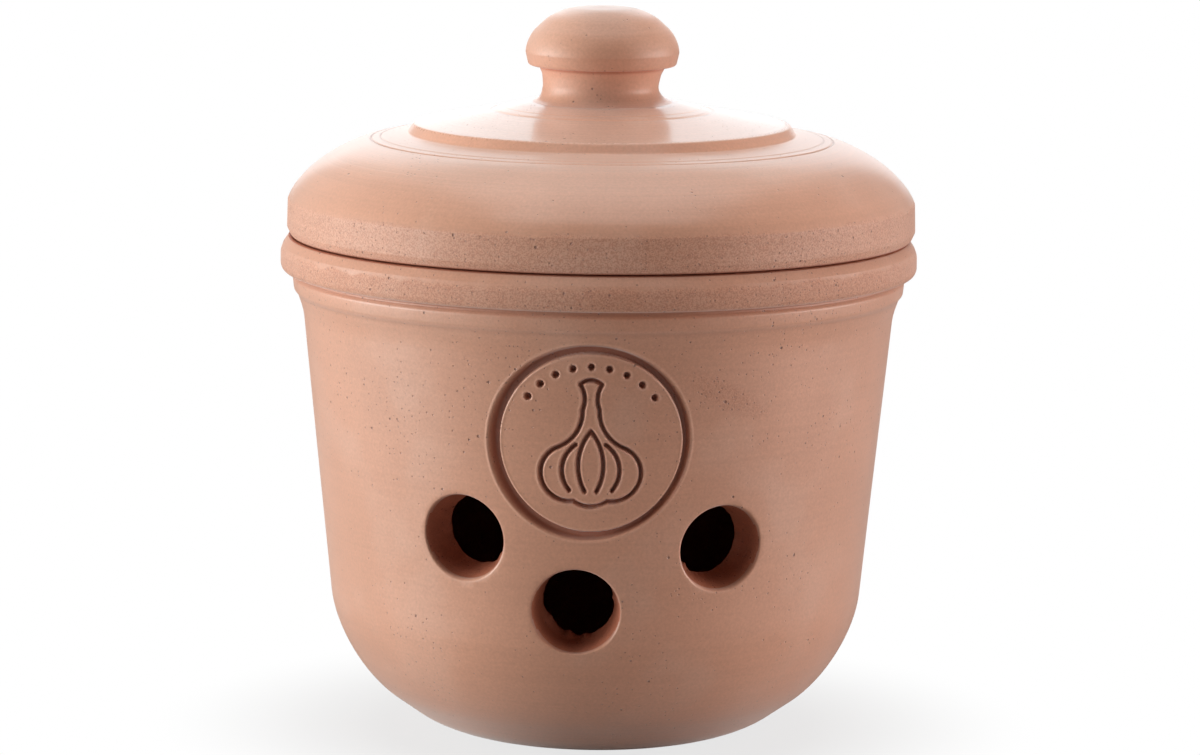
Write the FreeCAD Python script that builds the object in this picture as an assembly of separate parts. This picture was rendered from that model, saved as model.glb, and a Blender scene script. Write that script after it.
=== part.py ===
"""Terracotta garlic keeper: a vented pot, its domed lid, and the knob luted onto the lid.

Millimetres. +Z is up and -Y is the front, where the vents are. The origin is the
centre of the pot's foot, on the surface that it stands on.
"""
import FreeCAD, Part
import math
import os

Vector = FreeCAD.Vector
UP = Vector(0, 0, 1)

# Pot: a flat foot, a rounded haunch, and a side that leans straight outward
pot_height = 109.5          # foot to the top of the rim
rim_diameter = 140.0        # across the rim band, the widest place
wall = 8.5                  # thickness of the clay, floor and side
wall_lean_deg = 5.75        # from upright
shoulder_inset = 5.6        # from the rim band in to the side, at the shoulder
shoulder_drop = 21.8        # rim top down to the height of that inset
foot_corner_radius = 33.9   # where the foot would meet the haunch, unrounded
foot_round = 27.0
haunch_height = 16.5        # where the haunch would meet the side, unrounded
haunch_round = 35.0

# Rim: a rounded band over a small bead, which sweeps down into the side
mouth_depth = 11.0          # upright inside of the rim, down to the leaning side
mouth_round = 1.5
mouth_foot_round = 6.0
bevel_width = 1.8           # the band's sloping top edge, in two slopes
bevel_height = 3.4
bevel_round = 3.0
crease_width = 0.5          # where the two slopes meet: in from the band
crease_drop = 2.0           # and down from the rim top
crease_round = 0.5
rim_edge_round = 0.8
band_height = 8.8           # rim top down to the groove under the band
band_under_height = 2.5     # rounded underside of the band
band_under_round = 2.0
band_foot_width = 0.5
band_foot_height = 1.0
band_foot_round = 1.2
groove_depth = 2.4          # in from the band
groove_round = 0.4
bead_height = 3.2
bead_lip = 0.3              # the bead stands this far out of the groove
bead_lip_drop = 0.9
bead_round = 0.8
bead_foot_round = 2.0
sweep_height = 4.4
sweep_round = 14.0

# Roundel pressed into the front of the side, with a bulb of garlic and a row of dots
roundel_azimuth_deg = -1.1  # from the front, positive towards +X
roundel_gap = 2.9           # from the foot of the bead down to its ring groove
roundel_diameter = 42.2     # outside of the ring groove
ring_width = 1.9
press_depth = 1.1
dot_arc_share = 0.78        # of the roundel's radius
dot_diameter = 1.7
dot_count = 9
dot_step_deg = 13.5
line_width = 1.2

# The bulb is drawn for a roundel of radius 1, in arcs through three points each. Its
# outline is bulb_side, from the stalk down, drawn right and left, closed by bulb_ends.
bulb_side = [
    ((0.11, 0.60), (0.065, 0.47), (0.085, 0.34)),
    ((0.085, 0.34), (0.15, 0.10), (0.35, -0.06)),
    ((0.35, -0.06), (0.50, -0.35), (0.17, -0.60)),
]
bulb_ends = [
    ((-0.11, 0.60), (0.0, 0.645), (0.11, 0.60)),
    ((-0.17, -0.60), (0.0, -0.655), (0.17, -0.60)),
]
clove_side = ((0.15, -0.02), (0.285, -0.24), (0.215, -0.49))
middle_clove_side = ((0.0, 0.12), (0.125, -0.20), (0.06, -0.50))

# Vents, punched square through the side round the lower half of the roundel
vent_diameter = 18.8        # at the outside
vent_inner_diameter = 15.6  # at the inside: the punch tapers
vent_places = {             # direction from the roundel's centre, and gap to its ring
    "left": (-141.1, 4.7),
    "middle": (-93.7, 6.6),
    "right": (-39.4, 6.8),
}

# Lid: a flat seat, an upright edge, a dome, a low step and a mound for the knob
seat_clearance = 0.3        # seat over the rim top
lid_inset = 0.95            # lid edge back from the rim band
lid_edge_height = 7.6       # seat up to the crease where the dome starts
lid_edge_taper = 0.15
seat_bevel_width = 0.8
seat_bevel_height = 1.7
seat_bevel_round = 0.8
dome_height = 14.7          # crease up to the foot of the step
dome_side_width = 0.85      # the steep lower run of the dome: in from the crease
dome_side_height = 2.2      # and up from it
dome_side_round = 15.0
dome_crown_width = 9.6      # the flat upper run: starts this far in from the crease
dome_crown_drop = 2.75      # and this far below the foot of the step
dome_crown_round = 38.0
step_radius = 42.6
step_height = 2.25
step_width = 2.3
riser_lean = 0.6
riser_drop = 0.45
riser_round = 0.8
mound_height = 4.65         # top of the step up to the knob's foot
mound_bend_radius = 23.5    # the mound steepens a little here
mound_bend_drop = 1.6
mound_round = 40.0
lid_wall = 9.0
ceiling_round = 12.0
ceiling_edge_round = 5.0
flange_clearance = 1.5      # locating flange inside the mouth, all round
flange_depth = 7.0
flange_thickness = 6.0
flange_round = 1.6

# Knob: a waisted foot under a rounded head
knob_foot_radius = 16.6
waist_radius = 12.3
waist_foot_height = 1.0
waist_foot_round = 4.6
waist_height = 6.2          # foot up to the flare under the head
waist_flare = 0.9
waist_flare_round = 3.6
head_radius = 16.95
head_height = 13.6          # crease under the head up to its top
head_crease_width = 1.9     # crease in from the side of the head
head_crease_rise = 1.2      # and up from the flare
head_under_rise = 0.8
head_under_inset = 0.1
head_under_round = 1.4
head_side_rise = 3.0
head_side_round = 4.0
head_shoulder_rise = 6.9
head_shoulder_inset = 0.15
head_shoulder_round = 9.2
crown_inset = 7.2
crown_drop = 0.65
crown_round = 12.6


def rounded_outline(corners):
    """Closed wire in the XZ plane through (radius, height, rounding) corners."""
    count = len(corners)
    points = [Vector(radius, 0, height) for radius, height, rounding in corners]
    following = [(i + 1) % count for i in range(count)]
    back = [(points[i - 1] - points[i]).normalize() for i in range(count)]
    ahead = [(points[following[i]] - points[i]).normalize() for i in range(count)]
    half_angles = [back[i].getAngle(ahead[i]) / 2 for i in range(count)]
    cuts = [corners[i][2] / math.tan(half_angles[i]) for i in range(count)]
    # Two roundings share the run between them, so a short run limits both.
    limits = [1.0] * count
    for i in range(count):
        room = 0.98 * (points[following[i]] - points[i]).Length
        wanted = cuts[i] + cuts[following[i]]
        if wanted > room:
            limits[i] = min(limits[i], room / wanted)
            limits[following[i]] = min(limits[following[i]], room / wanted)
    cuts = [cuts[i] * limits[i] for i in range(count)]
    starts = [points[i] + back[i] * cuts[i] for i in range(count)]
    ends = [points[i] + ahead[i] * cuts[i] for i in range(count)]
    edges = []
    for i in range(count):
        if cuts[i] > 0.001:
            radius = cuts[i] * math.tan(half_angles[i])
            depth = radius / math.sin(half_angles[i]) - radius
            middle = points[i] + (back[i] + ahead[i]).normalize() * depth
            edges.append(Part.Arc(starts[i], middle, ends[i]).toShape())
        edges.append(Part.LineSegment(ends[i], starts[following[i]]).toShape())
    return Part.Wire(edges)


def turned(corners):
    """Solid of revolution about the pot's axis."""
    face = Part.Face(rounded_outline(corners))
    return face.revolve(Vector(), UP, 360)


def inset_corner(before, corner, after, distance):
    """A corner of the line that runs inside an outline at one distance from it."""
    first = Vector(corner[0] - before[0], 0, corner[1] - before[1]).normalize()
    second = Vector(after[0] - corner[0], 0, after[1] - corner[1]).normalize()
    first_normal = Vector(-first.z, 0, first.x)
    second_normal = Vector(-second.z, 0, second.x)
    spread = 1 + first_normal.dot(second_normal)
    shift = (first_normal + second_normal) * (distance / spread)
    rounding = max(corner[2] - distance, 0)
    return (corner[0] + shift.x, corner[1] + shift.z, rounding)


rim_radius = rim_diameter / 2
lean = math.radians(wall_lean_deg)
shoulder_z = pot_height - shoulder_drop


def side_radius(height):
    """Outside radius of the leaning side at a height."""
    return rim_radius - shoulder_inset + (height - shoulder_z) * math.tan(lean)


def side_point(azimuth, height):
    radius = side_radius(height)
    return Vector(radius * math.sin(azimuth), -radius * math.cos(azimuth), height)


def side_normal(azimuth):
    """Outward and square to the side, which leans out, so it points a little down."""
    level = math.cos(lean)
    return Vector(level * math.sin(azimuth), -level * math.cos(azimuth), -math.sin(lean))


# The pot's outline: up the outside from the foot, over the rim, down the inside.
band_foot_z = pot_height - band_height
bead_foot_z = band_foot_z - bead_height
sweep_foot_z = bead_foot_z - sweep_height
groove_radius = rim_radius - groove_depth
foot_centre = (0, 0, 0)
foot_corner = (foot_corner_radius, 0, foot_round)
haunch_corner = (side_radius(haunch_height), haunch_height, haunch_round)
sweep_corner = (side_radius(sweep_foot_z), sweep_foot_z, sweep_round)
outside = [
    foot_centre,
    foot_corner,
    haunch_corner,
    sweep_corner,
    (groove_radius, bead_foot_z, bead_foot_round),
    (groove_radius + bead_lip, band_foot_z - bead_lip_drop, bead_round),
    (groove_radius, band_foot_z, groove_round),
    (rim_radius - band_foot_width, band_foot_z + band_foot_height, band_foot_round),
    (rim_radius, band_foot_z + band_under_height, band_under_round),
    (rim_radius, pot_height - bevel_height, bevel_round),
    (rim_radius - crease_width, pot_height - crease_drop, crease_round),
    (rim_radius - bevel_width, pot_height, rim_edge_round),
]
mouth_foot_z = pot_height - mouth_depth
mouth_radius = side_radius(mouth_foot_z) - wall / math.cos(lean)
inside = [
    (mouth_radius, pot_height, mouth_round),
    (mouth_radius, mouth_foot_z, mouth_foot_round),
    inset_corner(foot_corner, haunch_corner, sweep_corner, wall),
    inset_corner(foot_centre, foot_corner, haunch_corner, wall),
    (0, wall, 0),
]
pot = turned(outside + inside)

# The roundel's own frame: X across, Y up along the side, Z outward from its centre.
roundel_radius = roundel_diameter / 2
roundel_azimuth = math.radians(roundel_azimuth_deg)
roundel_z = bead_foot_z - roundel_gap - roundel_radius
outward = side_normal(roundel_azimuth)
across = Vector(math.cos(roundel_azimuth), math.sin(roundel_azimuth), 0)
roundel_frame = FreeCAD.Placement(
    side_point(roundel_azimuth, roundel_z),
    FreeCAD.Rotation(across, outward.cross(across), outward, "ZXY"))

# A press takes out the skin under it: the side's outer layer, as thick as it is deep.
skin_margin = 2.0
skin_low = roundel_z - roundel_radius - skin_margin
skin_high = roundel_z + roundel_radius + skin_margin
skin = turned([
    (side_radius(skin_low) - press_depth, skin_low, 0),
    (side_radius(skin_low) + skin_margin, skin_low, 0),
    (side_radius(skin_high) + skin_margin, skin_high, 0),
    (side_radius(skin_high) - press_depth, skin_high, 0),
])


def pressed(face):
    """A flat face of the roundel's frame, pressed into the round side."""
    reach = roundel_radius / 2
    stamp = face.extrude(Vector(0, 0, reach + skin_margin))
    stamp.translate(Vector(0, 0, -reach))
    stamp.Placement = roundel_frame.multiply(stamp.Placement)
    return stamp.common(skin)


def disc(centre, radius):
    return Part.Face(Part.Wire(Part.makeCircle(radius, centre)))


def drawn(side, arcs):
    """Edges of a chain of arcs of the bulb's drawing, at the size of the roundel."""
    edges = []
    for arc in arcs:
        points = [Vector(side * x, y, 0) * roundel_radius for x, y in arc]
        edges.append(Part.Arc(*points).toShape())
    return edges


def line_face(edges):
    """The open line through some edges, as wide as a drawn line, with round ends."""
    return Part.Face(Part.Wire(edges).makeOffset2D(line_width / 2))


ring = disc(Vector(), roundel_radius).cut(disc(Vector(), roundel_radius - ring_width))
presses = [pressed(ring)]
for i in range(dot_count):
    angle = math.radians(90 + (i - (dot_count - 1) / 2) * dot_step_deg)
    direction = Vector(math.cos(angle), math.sin(angle), 0)
    dot = disc(direction * dot_arc_share * roundel_radius, dot_diameter / 2)
    presses.append(pressed(dot))
stalk_end, root_end = drawn(1, bulb_ends)
right_side = drawn(1, bulb_side)
left_side = drawn(-1, bulb_side)
bulb_edge = Part.Wire([stalk_end] + right_side + [root_end] + left_side[::-1])
bulb_outside = Part.Face(bulb_edge.makeOffset2D(line_width / 2))
bulb_inside = Part.Face(bulb_edge.makeOffset2D(-line_width / 2))
presses.append(pressed(bulb_outside.cut(bulb_inside)))
presses.append(pressed(line_face(drawn(-1, [clove_side]))))
presses.append(pressed(line_face(drawn(1, [clove_side]))))
presses.append(pressed(line_face(drawn(-1, [middle_clove_side]) + drawn(1, [middle_clove_side]))))


def vent_punch(direction_deg, gap):
    """Tapered punch square to the side, long enough to clear both faces of the wall."""
    direction = math.radians(direction_deg)
    distance = roundel_radius + gap + vent_diameter / 2
    height = roundel_z + distance * math.sin(direction)
    azimuth = roundel_azimuth + distance * math.cos(direction) / side_radius(height)
    overrun = wall / 2
    taper = (vent_diameter - vent_inner_diameter) / 2 / wall
    outer_radius = vent_diameter / 2 + taper * overrun
    inner_radius = vent_inner_diameter / 2 - taper * overrun
    start = side_point(azimuth, height) + side_normal(azimuth) * overrun
    length = wall + 2 * overrun
    return Part.makeCone(outer_radius, inner_radius, length, start, side_normal(azimuth) * -1)


pot = pot.cut(presses + [vent_punch(*place) for place in vent_places.values()])

# The lid's outline: out along the underside from the axis, down round the locating
# flange, out over the seat, up the edge, and back over the dome to the knob's foot.
lid_radius = rim_radius - lid_inset
dome_radius = lid_radius - lid_edge_taper
seat_z = pot_height + seat_clearance
dome_foot_z = seat_z + lid_edge_height
step_foot_z = dome_foot_z + dome_height
step_top_z = step_foot_z + step_height
mound_top_z = step_top_z + mound_height
flange_radius = mouth_radius - flange_clearance
flange_inner_radius = flange_radius - flange_thickness
flange_z = seat_z - flange_depth
ceiling_z = mound_top_z - lid_wall
ceiling_slope = (mound_top_z - step_foot_z) / (step_radius - knob_foot_radius)
ceiling_edge_z = ceiling_z - ceiling_slope * (flange_inner_radius - knob_foot_radius)
lid = turned([
    (0, ceiling_z, 0),
    (knob_foot_radius, ceiling_z, ceiling_round),
    (flange_inner_radius, ceiling_edge_z, ceiling_edge_round),
    (flange_inner_radius, flange_z, flange_round),
    (flange_radius, flange_z, flange_round),
    (flange_radius, seat_z, 0),
    (lid_radius - seat_bevel_width, seat_z, 0),
    (lid_radius, seat_z + seat_bevel_height, seat_bevel_round),
    (dome_radius, dome_foot_z, 0),
    (dome_radius - dome_side_width, dome_foot_z + dome_side_height, dome_side_round),
    (dome_radius - dome_crown_width, step_foot_z - dome_crown_drop, dome_crown_round),
    (step_radius, step_foot_z, 0),
    (step_radius - riser_lean, step_top_z - riser_drop, riser_round),
    (step_radius - step_width, step_top_z, 0),
    (mound_bend_radius, mound_top_z - mound_bend_drop, mound_round),
    (knob_foot_radius, mound_top_z, 0),
    (0, mound_top_z, 0),
])

# The knob's outline: foot, waist, creased underside of the head, and crown.
head_crease_z = mound_top_z + waist_height + head_crease_rise
head_top_z = head_crease_z + head_height
knob = turned([
    (0, mound_top_z, 0),
    (knob_foot_radius, mound_top_z, 0),
    (waist_radius, mound_top_z + waist_foot_height, waist_foot_round),
    (waist_radius + waist_flare, mound_top_z + waist_height, waist_flare_round),
    (head_radius - head_crease_width, head_crease_z, 0),
    (head_radius - head_under_inset, head_crease_z + head_under_rise, head_under_round),
    (head_radius, head_crease_z + head_side_rise, head_side_round),
    (head_radius - head_shoulder_inset, head_crease_z + head_shoulder_rise, head_shoulder_round),
    (head_radius - crown_inset, head_top_z - crown_drop, crown_round),
    (0, head_top_z, 0),
])

os.makedirs("parts", exist_ok=True)
for node, shape in {"pot": pot, "lid": lid, "knob": knob}.items():
    shape.exportStep("parts/" + node + ".step")
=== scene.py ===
"""Garlic keeper: the look of a vented terracotta pot, its domed lid and the knob on it.

Lengths are millimetres in the mesh code and are turned into metres when a piece is finished.
+Z is up and -Y is the front, where the vents are.
"""
import math

import bmesh
import bpy
from mathutils import Matrix, Quaternion, Vector, noise
from mathutils.kdtree import KDTree


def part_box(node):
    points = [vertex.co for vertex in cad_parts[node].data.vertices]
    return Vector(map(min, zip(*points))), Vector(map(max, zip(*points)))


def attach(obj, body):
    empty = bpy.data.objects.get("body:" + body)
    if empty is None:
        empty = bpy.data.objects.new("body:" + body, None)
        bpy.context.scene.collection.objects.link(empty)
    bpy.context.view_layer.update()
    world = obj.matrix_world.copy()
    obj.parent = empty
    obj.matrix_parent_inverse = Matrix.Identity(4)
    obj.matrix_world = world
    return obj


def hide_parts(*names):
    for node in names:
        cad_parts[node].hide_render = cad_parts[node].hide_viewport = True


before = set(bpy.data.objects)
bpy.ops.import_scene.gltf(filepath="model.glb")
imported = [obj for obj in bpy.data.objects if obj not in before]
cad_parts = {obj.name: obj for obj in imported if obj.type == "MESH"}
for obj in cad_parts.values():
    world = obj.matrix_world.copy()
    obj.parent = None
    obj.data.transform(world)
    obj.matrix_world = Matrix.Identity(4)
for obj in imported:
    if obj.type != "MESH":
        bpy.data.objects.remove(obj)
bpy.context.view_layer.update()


# The pot: red clay thrown on a wheel, turned smooth and fired without a glaze. A flat foot
# and a round haunch carry a side that leans out, up to a rounded band over a small bead.
MM = 0.001
rim_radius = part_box("pot")[1].x / MM
pot_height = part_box("pot")[1].z / MM
pot_wall = 8.5
pot_steps = 256
foot_radius = 33.9
haunch_z = 16.5
lean = math.radians(5.75)
shoulder_radius = rim_radius - 5.6
shoulder_z = pot_height - 21.8
band_foot_z = pot_height - 8.8
bead_foot_z = band_foot_z - 3.8
sweep_foot_z = bead_foot_z - 3.8
groove_radius = rim_radius - 2.9
mouth_foot_z = pot_height - 11.0


def side_radius(height):
    """Outside radius of the leaning side at a height."""
    return shoulder_radius + (height - shoulder_z) * math.tan(lean)


def inset_corner(before, corner, after, distance):
    """A corner of the line that runs inside an outline at one distance from it."""
    first = Vector((corner[0] - before[0], corner[1] - before[1])).normalized()
    second = Vector((after[0] - corner[0], after[1] - corner[1])).normalized()
    spread = 1 + first.dot(second)
    radius = corner[0] - (first.y + second.y) * distance / spread
    height = corner[1] + (first.x + second.x) * distance / spread
    return (radius, height, max(corner[2] - distance, 0))


def rounded_wire(corners, longest_run):
    """Wire in the XZ plane through (radius, height, rounding) corners, its runs divided."""
    most_of_run = 0.98
    smallest_cut = 0.01
    degrees_per_segment = 4.5
    wire = bmesh.new()
    points = [wire.verts.new((radius, 0, height)) for radius, height, rounding in corners]
    for first, second in zip(points, points[1:]):
        wire.edges.new((first, second))
    last = len(corners) - 1
    half_turns = [0.0] * len(corners)
    for i in range(1, last):
        arriving = points[i].co - points[i - 1].co
        leaving = points[i + 1].co - points[i].co
        half_turns[i] = arriving.angle(leaving) / 2
    cuts = [corner[2] * math.tan(half_turn) for corner, half_turn in zip(corners, half_turns)]
    # Two roundings share the run between them, so a short run limits both.
    limits = [1.0] * len(corners)
    for i in range(last):
        room = most_of_run * (points[i + 1].co - points[i].co).length
        wanted = cuts[i] + cuts[i + 1]
        if wanted > room:
            limits[i] = min(limits[i], room / wanted)
            limits[i + 1] = min(limits[i + 1], room / wanted)
    quarter_circle_cut = 2 - math.sqrt(2)
    for i in range(1, last):
        cut = cuts[i] * limits[i]
        if cut > smallest_cut:
            # The bevel's curve is as deep at the corner as an arc tangent to both runs.
            half_turn = half_turns[i]
            arc_radius = cut / math.tan(half_turn)
            depth = arc_radius * (1 / math.cos(half_turn) - 1)
            arc_length = arc_radius * half_turn * 2
            segments = max(arc_length / longest_run, math.degrees(half_turn) / degrees_per_segment)
            bmesh.ops.bevel(
                wire, geom=[points[i]], affect="VERTICES", offset_type="OFFSET",
                offset=depth / (quarter_circle_cut * math.sin(half_turn)),
                segments=math.ceil(segments), profile=0.5, material=-1, clamp_overlap=False)
    for edge in list(wire.edges):
        pieces = math.ceil(edge.calc_length() / longest_run)
        if pieces > 1:
            bmesh.ops.subdivide_edges(wire, edges=[edge], cuts=pieces - 1)
    return wire


def turn_on_wheel(wire, steps):
    """Turns a wire about the pot's axis into a closed skin."""
    bmesh.ops.spin(
        wire, geom=wire.verts[:] + wire.edges[:], cent=(0, 0, 0), axis=(0, 0, 1),
        angle=math.tau, steps=steps, use_merge=True)
    bmesh.ops.remove_doubles(wire, verts=wire.verts, dist=0.001)
    bmesh.ops.recalc_face_normals(wire, faces=wire.faces)


def add_object(name, data):
    """A new object in the scene, at the origin."""
    made = bpy.data.objects.new(name, data)
    bpy.context.scene.collection.objects.link(made)
    return made


foot_centre = (0, 0, 0)
foot_corner = (foot_radius, 0, 27.0)
haunch_corner = (side_radius(haunch_z), haunch_z, 35.0)
sweep_corner = (side_radius(sweep_foot_z), sweep_foot_z, 14.0)
mouth_radius = side_radius(mouth_foot_z) - pot_wall / math.cos(lean)
pot_corners = [
    foot_centre,
    foot_corner,
    haunch_corner,
    sweep_corner,
    (groove_radius - 0.85, bead_foot_z - 0.1, 0.6),
    (groove_radius - 0.05, bead_foot_z + 0.9, 1.2),
    (groove_radius + 0.25, band_foot_z - 0.3, 0.8),
    (groove_radius - 0.5, band_foot_z + 0.4, 0.3),
    (groove_radius - 0.45, band_foot_z + 0.95, 0.3),
    (rim_radius - 0.5, band_foot_z + 1.4, 1.2),
    (rim_radius, band_foot_z + 2.5, 2.0),
    (rim_radius, pot_height - 3.4, 3.0),
    (rim_radius - 0.5, pot_height - 2.0, 0.5),
    (rim_radius - 1.8, pot_height, 0.8),
    (mouth_radius, pot_height, 1.5),
    (mouth_radius, mouth_foot_z, 6.0),
    inset_corner(foot_corner, haunch_corner, sweep_corner, pot_wall),
    inset_corner(foot_centre, foot_corner, haunch_corner, pot_wall),
    (0, pot_wall, 0),
]
pot_shell = rounded_wire(pot_corners, longest_run=1.9)
turn_on_wheel(pot_shell, pot_steps)
pot_mesh = bpy.data.meshes.new("garlic_pot")
pot_shell.to_mesh(pot_mesh)
pot_shell.free()
pot = add_object("garlic_pot", pot_mesh)

# Three vents are punched through the leather-hard side with a tapered tube, round the lower
# half of the roundel. The outer edge is wiped round, and the inner one stays torn.
roundel_radius = 21.1
roundel_azimuth = math.radians(-1.1)
roundel_z = bead_foot_z - 2.3 - roundel_radius
vent_places = {               # direction from the roundel's centre, and gap to its ring
    "left": (-142.0, 5.3),
    "middle": (-94.6, 6.6),
    "right": (-39.3, 6.9),
}
vent_tears = {                # direction in degrees, size, half width in degrees
    "left": [(-50, 0.9, 9), (128, 0.4, 11)],
    "middle": [(-142, 0.9, 24), (-104, 0.9, 8), (-78, 0.6, 7), (6, 0.5, 8)],
    "right": [(-130, 1.0, 10), (98, 0.35, 10)],
}
vent_radius = 9.4
vent_inner_radius = 7.8
vent_taper = (vent_radius - vent_inner_radius) / pot_wall
vent_edge_round = 0.45
vent_steps = 144


def side_frame(azimuth, height):
    """Place on the side: X across, Y up along the side, Z outward."""
    across = Vector((math.cos(azimuth), math.sin(azimuth), 0))
    outward = Vector((math.sin(azimuth), -math.cos(azimuth), 0)) * math.cos(lean)
    outward.z = -math.sin(lean)
    upward = outward.cross(across)
    place = Matrix((across, upward, outward)).transposed().to_4x4()
    radius = side_radius(height)
    place.translation = (radius * math.sin(azimuth), -radius * math.cos(azimuth), height)
    return place


def vent_frame(direction_deg, gap):
    """Place of a vent on the side, from its place round the roundel."""
    direction = math.radians(direction_deg)
    distance = roundel_radius + gap + vent_radius
    height = roundel_z + distance * math.sin(direction)
    azimuth = roundel_azimuth + distance * math.cos(direction) / side_radius(height)
    return side_frame(azimuth, height)


def punch(name, direction_deg, gap):
    """Tapered tube for one vent, with its wiped outer edge and its torn inner end."""
    place = vent_frame(direction_deg, gap)
    outer_end = 4.0
    inner_end = 1.3 * pot_wall
    torn_depth = 0.75 * pot_wall
    torn_run = 1.6
    ring_step = 0.6
    # The outer edge is a few rings on the curve of the wiping finger.
    rings = [
        (0, outer_end),
        (vent_radius + 4.5, outer_end),
        (vent_radius + 1.8 * vent_edge_round, 0.25 * vent_edge_round),
        (vent_radius + 0.7 * vent_edge_round, -0.1 * vent_edge_round),
        (vent_radius + 0.3 * vent_edge_round, -0.3 * vent_edge_round),
        (vent_radius + 0.07 * vent_edge_round, -0.65 * vent_edge_round),
        (vent_radius - vent_edge_round * vent_taper, -vent_edge_round),
    ]
    depth = 2 * ring_step
    while depth < inner_end:
        rings.append((vent_radius - depth * vent_taper, -depth))
        depth += ring_step
    rings.append((0, -depth))
    tube = bmesh.new()
    points = [tube.verts.new((radius, 0, out)) for radius, out in rings]
    for first, second in zip(points, points[1:]):
        tube.edges.new((first, second))
    turn_on_wheel(tube, vent_steps)
    seed = Vector((direction_deg, gap, 0))
    for point in tube.verts:
        # The inner edge is nearly clean, with a little clay torn and left hanging here and there.
        around = Vector((point.co.x, point.co.y, 0))
        torn = min(max((-point.co.z - torn_depth) / torn_run, 0), 1)
        if around.length > 1:
            facing = math.degrees(math.atan2(point.co.y, point.co.x))
            burr = 0.10 + 0.22 * noise.fractal(around.normalized() * 3.5 + seed, 0.7, 2.0, 4)
            for tear_direction, size, half_width in vent_tears[name]:
                aside = (facing - tear_direction + 180) % 360 - 180
                burr += size * math.exp(-(aside / half_width) ** 2) * (0.85 + burr)
            point.co -= around.normalized() * max(burr, 0.0) * torn
        # The round side falls away from the middle of the vent.
        point.co.z -= point.co.x ** 2 / (2 * side_radius(place.translation.z))
    bmesh.ops.transform(tube, matrix=place, verts=tube.verts)
    return tube


punches = bmesh.new()
for vent_name, vent_place in vent_places.items():
    vent_tube = punch(vent_name, *vent_place)
    tube_mesh = bpy.data.meshes.new("vent_" + vent_name)
    vent_tube.to_mesh(tube_mesh)
    vent_tube.free()
    punches.from_mesh(tube_mesh)
    bpy.data.meshes.remove(tube_mesh)
punch_mesh = bpy.data.meshes.new("vent_punches")
punches.to_mesh(punch_mesh)
punches.free()
punch_set = add_object("vent_punches", punch_mesh)
punching = pot.modifiers.new("vents", "BOOLEAN")
punching.operation = "DIFFERENCE"
punching.solver = "EXACT"
punching.object = punch_set
punched_pot = pot.evaluated_get(bpy.context.evaluated_depsgraph_get())
pot_shell = bmesh.new()
pot_shell.from_mesh(punched_pot.to_mesh())
punched_pot.to_mesh_clear()
pot.modifiers.remove(punching)
bpy.data.objects.remove(punch_set)
bpy.data.meshes.remove(punch_mesh)
# The clay inside a vent was cut and never wiped, which its material shows. The same mask paints
# shade into the bore.
raw_and_recess_shade_layer = pot_shell.verts.layers.float.new("raw_and_recess_shade")
for vent_place in vent_places.values():
    to_vent = vent_frame(*vent_place).inverted()
    for point in pot_shell.verts:
        local = to_vent @ point.co
        if local.xy.length < vent_radius + 0.3 and -1.6 * pot_wall < local.z:
            point[raw_and_recess_shade_layer] = min(max((-local.z - 0.4) / 1.2, 0), 1)

# The roundel: a carved wooden stamp, rolled into the soft clay by hand. It leaves a ring, a
# bulb of garlic drawn in grooves and an arc of dots, and the ring is deeper at the left.
ring_width = 1.9
press_depth = 1.5
lip_height = 0.09
line_width = 1.2
dot_radius = 0.85
dot_count = 9
dot_step = math.radians(13.5)
dot_arc_radius = 0.78 * roundel_radius
# The bulb is drawn for a roundel of radius 1, in arcs through three points each.
bulb_sides = [
    ((0.11, 0.60), (0.065, 0.47), (0.085, 0.34)),
    ((0.085, 0.34), (0.15, 0.10), (0.35, -0.06)),
    ((0.35, -0.06), (0.50, -0.35), (0.17, -0.60)),
    ((0.15, -0.02), (0.285, -0.24), (0.215, -0.49)),
    ((0.0, 0.12), (0.125, -0.20), (0.06, -0.50)),
]
bulb_ends = [
    ((-0.11, 0.60), (0.0, 0.645), (0.11, 0.60)),
    ((-0.17, -0.60), (0.0, -0.655), (0.17, -0.60)),
]


def arc_points(start, middle, end, spacing):
    """Points along the arc through three points, at about one spacing."""
    start, middle, end = Vector(start), Vector(middle), Vector(end)
    to_middle, to_end = middle - start, end - start
    twice_area = 2 * (to_middle.x * to_end.y - to_middle.y * to_end.x)
    offset = Vector((
        to_end.y * to_middle.length_squared - to_middle.y * to_end.length_squared,
        to_middle.x * to_end.length_squared - to_end.x * to_middle.length_squared))
    centre = start + offset / twice_area
    spoke = start - centre
    turn = spoke.angle(middle - centre) + (middle - centre).angle(end - centre)
    sweep = math.copysign(turn, twice_area)
    count = max(2, round(abs(sweep) * spoke.length / spacing))
    return [centre + Matrix.Rotation(sweep * i / count, 2) @ spoke for i in range(count + 1)]


stamp = side_frame(roundel_azimuth, roundel_z)
to_stamp = stamp.inverted()
mirrored = [tuple((-x, y) for x, y in arc) for arc in bulb_sides]
drawn_spacing = 0.12
drawn_points = []
for arc in bulb_sides + mirrored + bulb_ends:
    spots = [(x * roundel_radius, y * roundel_radius) for x, y in arc]
    drawn_points += arc_points(*spots, drawn_spacing)
line_tree = KDTree(len(drawn_points))
for i, spot in enumerate(drawn_points):
    line_tree.insert(spot.to_3d(), i)
line_tree.balance()
dot_places = []
for i in range(dot_count):
    angle = math.pi / 2 + (i - (dot_count - 1) / 2) * dot_step
    dot_places.append(Vector((math.cos(angle), math.sin(angle), 0)) * dot_arc_radius)


def soft_step(value, width):
    """Smooth step from 0 to 1 as a value goes from 0 to a width."""
    share = min(max(value / width, 0), 1)
    return share * share * (3 - 2 * share)


def lip(inside):
    """Height share of the clay that a press pushes up beside a groove."""
    return math.exp(-((inside + 0.22) / 0.2) ** 2)


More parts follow.
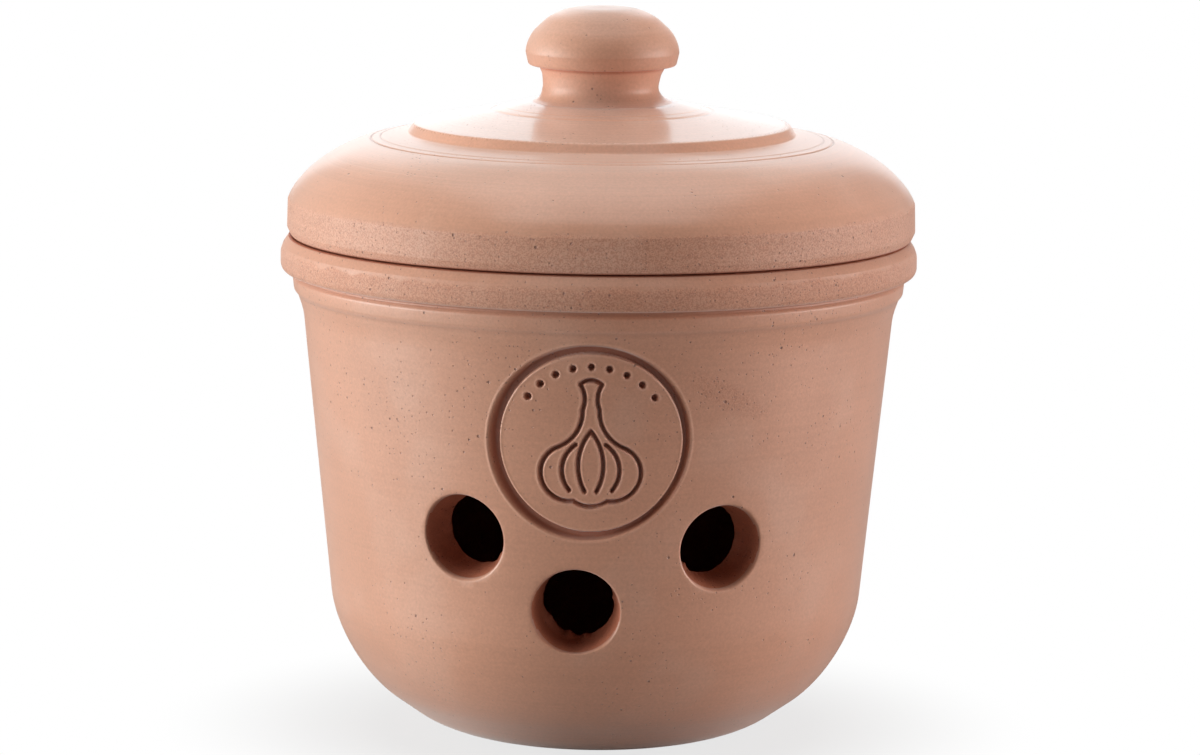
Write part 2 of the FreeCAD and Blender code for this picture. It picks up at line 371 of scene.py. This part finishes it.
def ring_inside(spot):
    """How far a spot is inside the ring's outer and inner edge, and how hard it was pressed.

    The stamp sank in at the lower left, where the ring is wider. It is narrow at the lower right.
    """
    turn = math.atan2(spot.y, spot.x)
    heavy_side = math.radians(208)
    light_side = math.radians(-38)
    heavy = (0.5 + 0.5 * math.cos(turn - heavy_side)) ** 2
    light = (0.5 + 0.5 * math.cos(turn - light_side)) ** 4
    outer = roundel_radius + 0.2 + 0.7 * heavy - 0.45 * light - spot.length
    inner = spot.length - (roundel_radius - ring_width)
    return outer, inner, heavy


def drawing_inside(spot):
    """How far a spot is inside the nearest drawn line or dot."""
    line = line_width / 2 - line_tree.find(spot)[2]
    dot = dot_radius - min((spot - place).length for place in dot_places)
    return max(line, dot)


def stamp_spot(place):
    """Where a place lies on the stamp's flat face."""
    local = to_stamp @ place
    return Vector((local.x, local.y, 0))


def front_faces(reach, near_lines):
    """Faces of the pot's outside under the stamp, or only those by its grooves."""
    front_y = -40
    groove_margin = 0.75
    found = []
    for face in pot_shell.faces:
        middle = face.calc_center_median()
        if middle.y < front_y and middle.xy.length > side_radius(middle.z) - 1:
            spot = stamp_spot(middle)
            if spot.length < reach:
                inside = max(min(ring_inside(spot)[:2]), drawing_inside(spot))
                if not near_lines or inside > -groove_margin:
                    found.append(face)
    return found


# The side is divided finely under the stamp, and once more along its grooves.
lip_highlight_layer = pot_shell.verts.layers.float.new("lip")
divided_reach = roundel_radius + 1.9
pressed_reach = roundel_radius + 3
for near_lines, cuts in ((False, 3), (True, 1)):
    pressed_faces = front_faces(divided_reach, near_lines)
    pressed_edges = list(dict.fromkeys(edge for face in pressed_faces for edge in face.edges))
    bmesh.ops.subdivide_edges(pot_shell, edges=pressed_edges, cuts=cuts, use_grid_fill=True)
pressed_points = list(dict.fromkeys(
    point for face in front_faces(pressed_reach, False) for point in face.verts))
wheel_step = math.tau / pot_steps
for point in pressed_points:
    # A divided flat facet goes back to the round.
    past_middle = (math.atan2(point.co.y, point.co.x) / wheel_step % 1 - 0.5) * wheel_step
    factor = math.cos(past_middle) / math.cos(wheel_step / 2)
    point.co.xy *= factor
# The sweep under the bead is made smooth again.
for i in range(4):
    near_sweep = [point for point in pressed_points if point.co.z > sweep_foot_z - 4]
    bmesh.ops.smooth_vert(
        pot_shell, verts=near_sweep, factor=0.5,
        use_axis_x=True, use_axis_y=True, use_axis_z=True)
for point in pressed_points:
    spot = stamp_spot(point.co)
    outer, inner, heavy = ring_inside(spot)
    in_drawing = drawing_inside(spot)
    ring_share = soft_step(outer, 0.7 + 0.6 * heavy) * soft_step(inner, 0.45)
    ring_press = press_depth * (1 + 0.35 * heavy) * ring_share
    depth = max(ring_press, press_depth * soft_step(in_drawing, 0.45))
    raised = max(lip(min(outer, inner)), lip(in_drawing))
    outward = Vector((point.co.x, point.co.y, 0)).normalized()
    # The depth of a groove is kept for painted shade in it, and the clay raised beside it for a
    # painted highlight.
    point[raw_and_recess_shade_layer] = max(point[raw_and_recess_shade_layer], min(depth / press_depth, 1))
    point[lip_highlight_layer] = raised
    point.co += outward * (lip_height * raised - depth)


def settle(shell, seed, most):
    """Hands, drying and the kiln leave a turned form a little uneven, never larger."""
    for point in shell.verts:
        around = Vector((point.co.x, point.co.y, 0))
        if around.length > 1:
            place = around.normalized() * 0.8 + Vector((0, 0, point.co.z / 60)) + seed
            sag = 0.5 + 0.5 * noise.noise(place)
            point.co -= around.normalized() * most * sag


unevenness = 0.2
settle(pot_shell, Vector((3.1, 0.4, 2.2)), unevenness)


def finish_piece(piece, shell, sharp_deg):
    """Puts a finished shell into its object, in metres, shaded smooth up to its edges."""
    bmesh.ops.scale(shell, vec=(MM, MM, MM), verts=shell.verts)
    shell.to_mesh(piece.data)
    shell.free()
    piece.data.shade_smooth()
    piece.data.set_sharp_from_angle(angle=math.radians(sharp_deg))


# The second material, unwiped clay darkened partly as painted shade, goes inside the pot, on its
# rim's top and in the vents.
for face in pot_shell.faces:
    middle = face.calc_center_median()
    in_vent = min(point[raw_and_recess_shade_layer] for point in face.verts) > 0.5
    in_vent = in_vent and stamp_spot(middle).length > roundel_radius + 2
    hidden = face.normal.xy.dot(middle.xy) < 0 or middle.z > pot_height - 0.2
    if in_vent or hidden:
        face.material_index = 1
finish_piece(pot, pot_shell, sharp_deg=50)


def add_node(tree, kind, inputs=None, **settings):
    """Adds a node to a tree. An input is a value or the socket that feeds it."""
    made = tree.nodes.new("ShaderNode" + kind)
    for name, value in settings.items():
        setattr(made, name, value)
    for name, value in (inputs or {}).items():
        if isinstance(value, bpy.types.NodeSocket):
            tree.links.new(value, made.inputs[name])
        else:
            made.inputs[name].default_value = value
    return made


def math_node(tree, operation, *values):
    """One sum or product of values and sockets."""
    return add_node(tree, "Math", dict(enumerate(values)), operation=operation).outputs[0]


def ramp(tree, value, low, high):
    """Smooth step from 0 to 1 as a value goes from low to high, or down where high is less."""
    limits = {"Value": value, "From Min": min(low, high), "From Max": max(low, high)}
    limits["To Min"], limits["To Max"] = (0.0, 1.0) if low < high else (1.0, 0.0)
    return add_node(tree, "MapRange", limits, interpolation_type="SMOOTHSTEP").outputs["Result"]


def colour_mix(tree, factor, first, second, blend_type="MIX"):
    """Mixes two colours. Each value may be a socket."""
    sockets = {0: factor, 6: first, 7: second}
    return add_node(tree, "Mix", sockets, data_type="RGBA", blend_type=blend_type).outputs[2]


def grey(tree, value):
    """A value as a colour to multiply by."""
    return add_node(tree, "CombineColor", {0: value, 1: value, 2: value}).outputs[0]


def make_fired_clay():
    """Red clay as it comes from the kiln: mottling, grain, specks, pores and turning marks."""
    group = bpy.data.node_groups.new("fired_clay", "ShaderNodeTree")
    sockets = group.interface
    sockets.new_socket("Place", in_out="INPUT", socket_type="NodeSocketVector")
    sockets.new_socket("Along", in_out="INPUT", socket_type="NodeSocketFloat")
    sockets.new_socket("Open grain", in_out="INPUT", socket_type="NodeSocketFloat")
    sockets.new_socket("Polish", in_out="INPUT", socket_type="NodeSocketFloat")
    sockets.new_socket("Coarse patch", in_out="INPUT", socket_type="NodeSocketFloat")
    sockets.new_socket("Color", in_out="OUTPUT", socket_type="NodeSocketColor")
    sockets.new_socket("Roughness", in_out="OUTPUT", socket_type="NodeSocketFloat")
    sockets.new_socket("Height", in_out="OUTPUT", socket_type="NodeSocketFloat")
    given = group.nodes.new("NodeGroupInput").outputs
    place, along = given["Place"], given["Along"]
    coarse = given["Coarse patch"]
    open_grain = math_node(
        group, "MAXIMUM", given["Open grain"], math_node(group, "MULTIPLY", coarse, 0.7))

    def noise_value(vector, scale, detail):
        settings = {"Vector": vector, "Scale": scale, "Detail": detail}
        return add_node(group, "TexNoise", settings).outputs["Fac"]

    def holes(scale, share, radius):
        """Round holes in a share of the cells of a pattern, none of them quite alike."""
        cells = add_node(group, "TexVoronoi", {"Vector": place, "Scale": scale}).outputs
        chance = add_node(group, "SeparateColor", {0: cells["Color"]}).outputs
        chosen = math_node(group, "LESS_THAN", chance[0], share)
        size = math_node(group, "MULTIPLY_ADD", chance[1], 0.6 * radius, 0.7 * radius)
        inside = math_node(group, "DIVIDE", cells["Distance"], size)
        return math_node(group, "MULTIPLY", chosen, ramp(group, inside, 1.25, 0.55))

    cloud = noise_value(place, 26.0, 3.0)
    grain = noise_value(place, 1700.0, 2.0)
    crumbs = noise_value(place, 700.0, 3.0)
    round_about = add_node(
        group, "VectorMath", {0: place, 1: (9.0, 9.0, 0.0)}, operation="MULTIPLY").outputs[0]
    up_the_wall = add_node(
        group, "CombineXYZ", {2: math_node(group, "MULTIPLY", along, 1100.0)}).outputs[0]
    stretched = add_node(
        group, "VectorMath", {0: round_about, 1: up_the_wall}, operation="ADD").outputs[0]
    turning = noise_value(stretched, 1.0, 4.0)

    # Pinholes everywhere and larger pits, closer together where the grain is open.
    patches = ramp(group, noise_value(place, 45.0, 2.0), 0.50, 0.66)
    pin_share = math_node(group, "MULTIPLY_ADD", patches, 0.24, 0.02)
    pin_share = math_node(group, "MULTIPLY_ADD", open_grain, 0.32, pin_share)
    pin_share = math_node(group, "MULTIPLY_ADD", coarse, 0.35, pin_share)
    pinholes = holes(1250.0, pin_share, 0.22)
    pit_share = math_node(group, "MULTIPLY_ADD", patches, 0.10, 0.01)
    pit_share = math_node(group, "MULTIPLY_ADD", open_grain, 0.22, pit_share)
    pit_share = math_node(group, "MULTIPLY_ADD", coarse, 0.20, pit_share)
    pits = holes(520.0, pit_share, 0.13)
    specks = holes(310.0, 0.012, 0.06)

    body = colour_mix(
        group, ramp(group, cloud, 0.35, 0.65), (0.605, 0.302, 0.196, 1), (0.660, 0.332, 0.218, 1))
    bloom = ramp(group, noise_value(place, 38.0, 3.0), 0.50, 0.72)
    bloom = math_node(group, "MULTIPLY", bloom, 0.35)
    body = colour_mix(group, bloom, body, (0.700, 0.430, 0.330, 1))
    turning_tone = math_node(group, "MULTIPLY_ADD", given["Polish"], 0.08, 0.09)
    tone = math_node(group, "MULTIPLY_ADD", turning, turning_tone, 0.95)
    speckle = math_node(group, "SUBTRACT", grain, 0.5)
    tone = math_node(group, "MULTIPLY_ADD", speckle, 0.30, tone)
    rub = math_node(group, "MULTIPLY", crumbs, open_grain)
    tone = math_node(group, "MULTIPLY_ADD", rub, -0.10, tone)
    colour = colour_mix(group, 1.0, body, grey(group, tone), "MULTIPLY")
    # Where the grain is open, darker and redder crumbs stand among paler ones.
    fine_grain = noise_value(place, 2900.0, 1.0)
    stipple = colour_mix(
        group, ramp(group, fine_grain, 0.34, 0.62), (0.84, 0.71, 0.66, 1), (1.05, 1.06, 1.06, 1))
    colour = colour_mix(group, open_grain, colour, stipple, "MULTIPLY")
    # The pinholes and pits are dented by the bump, and their dark colour is painted shade inside
    # them; the pale specks are the clay's own.
    for mark, share, mark_colour in (
            (pinholes, 0.5, (0.19, 0.07, 0.045, 1)),
            (pits, 0.6, (0.15, 0.05, 0.035, 1)),
            (specks, 0.5, (0.80, 0.60, 0.46, 1))):
        colour = colour_mix(group, math_node(group, "MULTIPLY", mark, share), colour, mark_colour)

    rough = math_node(group, "MULTIPLY_ADD", given["Polish"], -0.18, 0.44)
    rough = math_node(group, "MULTIPLY_ADD", open_grain, 0.30, rough)
    rough = math_node(group, "MULTIPLY_ADD", grain, 0.08, rough)

    # The heights are in millimetres.
    crumb_height = math_node(group, "MULTIPLY_ADD", open_grain, 0.055, 0.004)
    height = math_node(group, "MULTIPLY", crumbs, crumb_height)
    grain_height = math_node(group, "MULTIPLY_ADD", given["Polish"], -0.006, 0.008)
    height = math_node(group, "ADD", height, math_node(group, "MULTIPLY", grain, grain_height))
    turning_height = math_node(group, "MULTIPLY_ADD", given["Polish"], 0.016, 0.014)
    height = math_node(group, "ADD", height, math_node(group, "MULTIPLY", turning, turning_height))
    height = math_node(group, "MULTIPLY_ADD", pinholes, -0.08, height)
    height = math_node(group, "MULTIPLY_ADD", pits, -0.18, height)

    taken = group.nodes.new("NodeGroupOutput").inputs
    group.links.new(colour, taken["Color"])
    group.links.new(rough, taken["Roughness"])
    group.links.new(height, taken["Height"])
    return group


fired_clay = make_fired_clay()


def start_clay(name):
    """A clay material and its place, radius and height sockets, for the masks of one piece."""
    material = bpy.data.materials.new(name)
    material.use_nodes = True
    tree = material.node_tree
    tree.nodes.clear()
    place = add_node(tree, "TexCoord").outputs["Object"]
    parts = add_node(tree, "SeparateXYZ", {0: place}).outputs
    level = add_node(tree, "CombineXYZ", {0: parts[0], 1: parts[1]}).outputs[0]
    radius = add_node(tree, "VectorMath", {0: level}, operation="LENGTH").outputs["Value"]
    return material, tree, place, radius, parts[2]


def wandering(tree, place, value, scale, most):
    """A length with a slow, uneven drift of some millimetres, as a hand leaves it."""
    pattern = {"Vector": place, "Scale": scale, "Detail": 3.0}
    drift = add_node(tree, "TexNoise", pattern).outputs["Fac"]
    drift = math_node(tree, "SUBTRACT", drift, 0.5)
    return math_node(tree, "MULTIPLY_ADD", drift, 2 * most * MM, value)


def band(tree, value, low, high, soft):
    """1 where a length is between two limits in millimetres, 0 outside, with soft ends."""
    rise = ramp(tree, value, (low - soft) * MM, (low + soft) * MM)
    fall = ramp(tree, value, (high + soft) * MM, (high - soft) * MM)
    return math_node(tree, "MULTIPLY", rise, fall)


def finish_clay(tree, place, worked, sheen, gloss, shade):
    """Adds the fired clay, worked in some way, and the surface that shows it.

    The sheen is a weight and a roughness, and the shade is multiplied into the colour.
    """
    clay = add_node(tree, "Group", {"Place": place, **worked}, node_tree=fired_clay)
    colour = colour_mix(tree, 1.0, clay.outputs["Color"], shade, "MULTIPLY")
    relief = {"Height": clay.outputs["Height"], "Strength": 1.0, "Distance": MM}
    bump = add_node(tree, "Bump", relief)
    surface = add_node(tree, "BsdfPrincipled", {
        "Base Color": colour, "Roughness": clay.outputs["Roughness"],
        "Normal": bump.outputs["Normal"], "Specular IOR Level": gloss,
        "Sheen Weight": sheen[0], "Sheen Roughness": sheen[1]})
    add_node(tree, "OutputMaterial", {"Surface": surface.outputs[0]})


# Inside, in the vents, under the lid and where it sits, the clay was never wiped; its darker
# colour is partly that and partly painted shade of these hidden places.
raw_shaded_clay, tree, place, radius, height = start_clay("raw_shaded_clay")
worked = {"Along": height, "Open grain": 0.4}
finish_clay(tree, place, worked, (0.0, 0.6), 0.3, (0.70, 0.48, 0.42, 1))

# The band under the rim's bevel was trimmed dry, which opened the grain. The roundel's grooves
# and the vents get painted shade, and the clay pushed up beside the grooves a painted highlight.
# The pot's clay fired a little redder than the lid's.
pot_clay, tree, place, radius, height = start_clay("pot_clay")
uneven = wandering(tree, place, height, 160.0, 1.6)
trimmed = band(tree, uneven, pot_height - 7.6, pot_height - 2.6, 0.5)
outside = ramp(tree, radius, (rim_radius - 3) * MM, (rim_radius - 2) * MM)
trimmed = math_node(tree, "MULTIPLY", trimmed, outside)
# The vents' bores and the roundel's grooves get painted shade, the deeper ones darker.
raw_and_recess_shade = add_node(tree, "Attribute", attribute_name="raw_and_recess_shade").outputs["Fac"]
lip_highlight = add_node(tree, "Attribute", attribute_name="lip").outputs["Fac"]
# The rim's top, in the gap under the lid, gets painted shade as well.
seat_gap_shade = ramp(tree, height, (pot_height - 0.4) * MM, (pot_height - 0.05) * MM)
raw_and_recess_shade = math_node(tree, "MAXIMUM", raw_and_recess_shade, seat_gap_shade)
shade = colour_mix(tree, raw_and_recess_shade, (0.985, 0.93, 0.89, 1), (0.58, 0.40, 0.35, 1))
# The two hollows by the bead get painted shade too.
upper_hollow_shade = band(tree, height, band_foot_z + 0.2, band_foot_z + 1.2, 0.35)
lower_hollow_shade = band(tree, height, bead_foot_z - 0.4, bead_foot_z + 0.2, 0.5)
under_band = ramp(tree, radius, (rim_radius - 1.6) * MM, (rim_radius - 2.6) * MM)
upper_hollow_shade = math_node(tree, "MULTIPLY", upper_hollow_shade, under_band)
shade = colour_mix(tree, upper_hollow_shade, shade, (0.72, 0.60, 0.54, 1))
shade = colour_mix(tree, lower_hollow_shade, shade, (0.86, 0.79, 0.75, 1))
# The clay pushed up beside the grooves gets a painted highlight.
shade = colour_mix(tree, lip_highlight, shade, (1.10, 1.12, 1.14, 1))
along = math_node(tree, "ADD", height, radius)
# A streak of coarser clay runs down from the roundel's upper right.
streak_turn = math.radians(-29)
streak_centre = Matrix.Rotation(streak_turn, 3, "Y") @ Vector((0.0275, -0.0600, 0.0830))
streak = add_node(tree, "Mapping", {
    "Vector": place, "Rotation": (0, streak_turn, 0), "Location": -streak_centre}).outputs[0]
streak = add_node(tree, "Mapping", {"Vector": streak, "Scale": (0.3, 0.1, 1.0)}).outputs[0]
away = add_node(tree, "VectorMath", {0: streak}, operation="LENGTH").outputs["Value"]
coarse = ramp(tree, away, 4.6 * MM, 1.2 * MM)
# The whole upper side is a little coarse too.
upper_side = math_node(tree, "MULTIPLY", ramp(tree, height, 40 * MM, 85 * MM), 0.22)
coarse = math_node(tree, "MAXIMUM", coarse, upper_side)
worked = {"Along": along, "Open grain": trimmed, "Polish": 0.25, "Coarse patch": coarse}
finish_clay(tree, place, worked, (0.4, 0.5), 0.7, shade)
pot.data.materials.append(pot_clay)
pot.data.materials.append(raw_shaded_clay)
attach(pot, "pot")
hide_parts("pot")


# The lid: turned from the same clay. A dome rises from an upright edge to a low step and a
# mound, and a flange under it drops into the pot's mouth and keeps it from sliding off.
seat_z = pot_height + 0.3
lid_radius = rim_radius - 0.95
dome_radius = lid_radius - 0.15
dome_foot_z = seat_z + 7.6
step_radius = 42.6
step_foot_z = dome_foot_z + 14.7
step_top_z = step_foot_z + 2.25
mound_top_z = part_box("lid")[1].z / MM
knob_foot_radius = 16.6
flange_radius = mouth_radius - 1.5
flange_inner_radius = flange_radius - 6.0
flange_z = seat_z - 7.0
ceiling_z = mound_top_z - 9.0
ceiling_slope = (mound_top_z - step_foot_z) / (step_radius - knob_foot_radius)
ceiling_edge_z = ceiling_z - ceiling_slope * (flange_inner_radius - knob_foot_radius)
lid_corners = [
    (0, ceiling_z, 0),
    (knob_foot_radius, ceiling_z, 12.0),
    (flange_inner_radius, ceiling_edge_z, 5.0),
    (flange_inner_radius, flange_z, 1.6),
    (flange_radius, flange_z, 1.6),
    (flange_radius, seat_z, 0),
    (lid_radius - 0.8, seat_z, 0.3),
    (lid_radius, seat_z + 1.7, 0.8),
    (dome_radius, dome_foot_z, 0.5),
    (dome_radius - 0.85, dome_foot_z + 2.2, 15.0),
    (dome_radius - 9.6, step_foot_z - 2.75, 38.0),
    (step_radius + 0.1, step_foot_z, 0.6),
    (step_radius - 1.3, step_top_z - 0.15, 0.7),
    (step_radius - 3.0, step_top_z + 0.12, 0.5),
    (23.5, mound_top_z - 1.6, 4.0),
    (knob_foot_radius, mound_top_z, 0),
    (0, mound_top_z, 0),
]
fine_rings = [                # radius, half width and depth of the rings cut into the top
    (50.7, 0.36, 0.20),
    (48.6, 0.32, 0.13),
    (24.1, 0.90, 0.20),
    (21.6, 0.35, 0.08),
]
fine_rings_z = step_foot_z - 3
lid_run = 1.7
lid_shell = rounded_wire(lid_corners, lid_run)
# The outline is divided finely by the rings before they are cut into it.
ring_edges = []
for edge in lid_shell.edges:
    upper = min(point.co.z for point in edge.verts) > fine_rings_z
    for ring in fine_rings:
        if upper and min(abs(point.co.x - ring[0]) for point in edge.verts) < lid_run:
            ring_edges.append(edge)
            break
bmesh.ops.subdivide_edges(lid_shell, edges=ring_edges, cuts=9)
for point in lid_shell.verts:
    if point.co.z > fine_rings_z:
        for ring_place, half_width, ring_depth in fine_rings:
            aside = min(abs(point.co.x - ring_place) / half_width, 1)
            point.co.z -= ring_depth * (1 - aside ** 2) ** 2
turn_on_wheel(lid_shell, pot_steps)
settle(lid_shell, Vector((7.7, 1.9, 0.6)), unevenness)
# The flange has play in the mouth, and the lid lies a little to the right of the middle.
lid_play = 0.45
bmesh.ops.translate(lid_shell, vec=(lid_play, 0, 0), verts=lid_shell.verts)
lid = add_object("garlic_lid", bpy.data.meshes.new("garlic_lid"))
# Its underside and its flange are the unwiped clay, darkened partly as painted shade.
for face in lid_shell.faces:
    if face.normal.z < -0.5 or face.calc_center_median().z < seat_z:
        face.material_index = 1
finish_piece(lid, lid_shell, sharp_deg=40)

lid_clay, tree, place, radius, height = start_clay("lid_clay")
uneven = wandering(tree, place, height, 140.0, 1.2)
edge_band = band(tree, uneven, seat_z - 3, dome_foot_z + 0.4, 0.5)
# Painted shade darkens the lid's lower edge, over the gap on the rim.
edge_gap_shade = ramp(tree, height, (seat_z + 0.5) * MM, (seat_z + 0.1) * MM)
shade = colour_mix(tree, edge_gap_shade, (1, 1, 1, 1), (0.62, 0.44, 0.39, 1))
outside = ramp(tree, radius, (lid_radius - 3) * MM, (lid_radius - 2) * MM)
along = math_node(tree, "SUBTRACT", height, radius)
trimmed = math_node(tree, "MULTIPLY", edge_band, outside)
on_mound = ramp(tree, radius, (step_radius - 1) * MM, (step_radius - 3) * MM)
polish = math_node(tree, "MULTIPLY_ADD", on_mound, 0.6, 1.0)
worked = {"Along": along, "Open grain": trimmed, "Polish": polish}
finish_clay(tree, place, worked, (0.3, 0.6), 0.5, shade)
lid.data.materials.append(lid_clay)
lid.data.materials.append(raw_shaded_clay)
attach(lid, "lid")
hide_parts("lid")


# The knob: turned by itself and stuck to the mound with slip before the firing. A waist
# flares to a crease, and a rounded head sits over it.
knob_top_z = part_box("knob")[1].z / MM
head_crease_z = knob_top_z - 13.6
head_radius = 16.95
waist_radius = 12.3
head_lean = 0.35
knob_steps = 160
knob_corners = [
    (0, mound_top_z, 0),
    (knob_foot_radius - 1.2, mound_top_z, 0),
    (waist_radius, mound_top_z + 1.0, 4.4),
    (waist_radius + 0.8, mound_top_z + 6.1, 3.0),
    (head_radius - 2.9, head_crease_z + 0.6, 0.3),
    (head_radius - 0.7, head_crease_z + 0.65, 0.8),
    (head_radius - 0.05, head_crease_z + 3.5, 0.25),
    (head_radius - 0.3, head_crease_z + 6.8, 9.2),
    (head_radius - 7.1, knob_top_z - 0.6, 12.6),
    (0, knob_top_z, 0),
]
knob_shell = rounded_wire(knob_corners, longest_run=0.9)
turn_on_wheel(knob_shell, knob_steps)
settle(knob_shell, Vector((0.3, 5.1, 4.4)), 0.6 * unevenness)
for point in knob_shell.verts:
    # The foot lies where the lid does, the waist a little left of it, and the head leans right.
    above_foot = point.co.z - mound_top_z
    at_foot = 1 - soft_step(above_foot, 3)
    at_head = soft_step(above_foot - 2, 6.5)
    point.co.x += lid_play * at_foot + head_lean * at_head
knob = add_object("garlic_knob", bpy.data.meshes.new("garlic_knob"))
finish_piece(knob, knob_shell, sharp_deg=40)

knob_clay, tree, place, radius, height = start_clay("knob_clay")
# Painted shade in the crease under the head.
crease_shade = band(tree, height, head_crease_z - 0.1, head_crease_z + 0.5, 0.35)
shade = colour_mix(tree, crease_shade, (1, 1, 1, 1), (0.74, 0.52, 0.46, 1))
along = math_node(tree, "SUBTRACT", height, radius)
# Fingers keep the very top smooth, and the foot was rubbed smooth with the mound.
handled = ramp(tree, height, (knob_top_z - 2.6) * MM, (knob_top_z - 1.3) * MM)
rubbed = ramp(tree, height, (mound_top_z + 4.0) * MM, (mound_top_z + 0.3) * MM)
polish = math_node(tree, "MULTIPLY_ADD", math_node(tree, "MAXIMUM", handled, rubbed), 0.8, 0.2)
worked = {"Along": along, "Open grain": 0.0, "Polish": polish}
finish_clay(tree, place, worked, (0.3, 0.6), 0.35, shade)
knob.data.materials.append(knob_clay)
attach(knob, "lid")
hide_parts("knob")


# The table: a wide grey plane. The camera, also through glass, sees most of it near the keeper
# as plain white and all of it further off, and the grey paint in the rest takes the shadow.
table_size = 8.0
nearest_white = 0.76
table_mesh = bpy.data.meshes.new("table")
table_shell = bmesh.new()
bmesh.ops.create_grid(table_shell, x_segments=1, y_segments=1, size=table_size)
table_shell.to_mesh(table_mesh)
table_shell.free()
table = add_object("table", table_mesh)


def seen_directly(tree, rays):
    """1 for a ray that the camera sends out, also through glass."""
    return math_node(tree, "MAXIMUM", rays["Is Camera Ray"], rays["Is Transmission Ray"])


table_paint = bpy.data.materials.new("table_paint")
table_paint.use_nodes = True
tree = table_paint.node_tree
tree.nodes.clear()
paint = add_node(tree, "BsdfDiffuse", {"Color": (0.42, 0.42, 0.42, 1)})
white = add_node(tree, "Emission", {"Color": (1, 1, 1, 1), "Strength": 1.0})
rays = add_node(tree, "LightPath").outputs
seen = seen_directly(tree, rays)
away = add_node(tree, "TexCoord").outputs["Object"]
distance = add_node(tree, "VectorMath", {0: away}, operation="LENGTH").outputs["Value"]
far = ramp(tree, distance, 45 * MM, 100 * MM)
whiteness = math_node(tree, "MULTIPLY_ADD", far, 1 - nearest_white, nearest_white)
fade = math_node(tree, "MULTIPLY", seen, whiteness)
mixed = add_node(tree, "MixShader", {0: fade, 1: paint.outputs[0], 2: white.outputs[0]})
add_node(tree, "OutputMaterial", {"Surface": mixed.outputs[0]})
table_mesh.materials.append(table_paint)


# Light: low, wide windows at both sides, the left ones stronger, a softer ceiling, and a
# bright sweep behind the keeper that shines along its lid.
keeper_middle = Vector((0, 0, 0.08))
window_size = (0.9, 0.4)
window_z = 0.22


def soft_light(name, place, size, power, tint):
    """Rectangular lamp that faces the keeper, out of the picture."""
    lamp = bpy.data.lights.new(name, "AREA")
    lamp.shape = "RECTANGLE"
    lamp.size, lamp.size_y = size
    lamp.energy = power
    lamp.color = tint
    lamp_object = add_object(name, lamp)
    lamp_object.location = place
    aim = keeper_middle - Vector(place)
    lamp_object.rotation_mode = "QUATERNION"
    lamp_object.rotation_quaternion = aim.to_track_quat("-Z", "Y")
    lamp_object.visible_camera = False


soft_light("left_window", (-1.30, 0, window_z), window_size, 13.5, (0.895, 1.0, 1.01))
soft_light("left_front", (-1.222, -0.445, window_z), window_size, 7.5, (1.0, 0.96, 0.93))
soft_light("right_window", (1.30, 0, window_z), window_size, 10.2, (1.0, 0.97, 0.95))
soft_light("right_front", (1.222, -0.445, window_z), window_size, 2.9, (1.0, 0.86, 0.82))
soft_light("ceiling", (0, 0, 1.40), (1.2, 1.2), 11.2, (1.0, 0.97, 0.93))
soft_light("sweep_low", (0, 1.25, 0.50), (0.9, 0.9), 4.8, (0.86, 0.95, 1.0))
soft_light("sweep_high", (0, 0.85, 1.10), (1.2, 0.8), 3.2, (0.94, 1.0, 0.97))
world = bpy.data.worlds.new("studio")
bpy.context.scene.world = world
world.use_nodes = True
tree = world.node_tree
tree.nodes.clear()
rays = add_node(tree, "LightPath").outputs
seen = seen_directly(tree, rays)
# A shine shows the white sweep only where it stands, behind the keeper.
direction = add_node(tree, "SeparateXYZ", {0: add_node(tree, "TexCoord").outputs["Generated"]})
behind = ramp(tree, direction.outputs[1], -0.20, 0.25)
sweep_shine = math_node(tree, "MULTIPLY", behind, 0.12)
shine = math_node(tree, "MULTIPLY", rays["Is Glossy Ray"], sweep_shine)
seen = math_node(tree, "MAXIMUM", seen, shine)
ambient = add_node(tree, "Background", {"Color": (1, 1, 1, 1), "Strength": 0.02})
backdrop = add_node(tree, "Background", {"Color": (1, 1, 1, 1), "Strength": 1.0})
sky = add_node(tree, "MixShader", {0: seen, 1: ambient.outputs[0], 2: backdrop.outputs[0]})
add_node(tree, "OutputWorld", {"Surface": sky.outputs[0]})


# Camera: a long lens a little above the keeper, turned slightly on its own axis.
camera_data = bpy.data.cameras.new("camera")
camera_data.sensor_width = 36.0
camera_data.lens = 163.0
camera = add_object("camera", camera_data)
camera_place = Vector((0.00056, -1.1861, 0.2598))
camera_target = Vector((0.00056, 0, 0.0778))
camera_roll = 0.0107
camera.location = camera_place
camera.rotation_mode = "QUATERNION"
gaze = (camera_target - camera_place).to_track_quat("-Z", "Y")
camera.rotation_quaternion = gaze @ Quaternion((0, 0, 1), camera_roll)
bpy.context.scene.camera = camera
bpy.context.scene.view_settings.view_transform = "Standard"
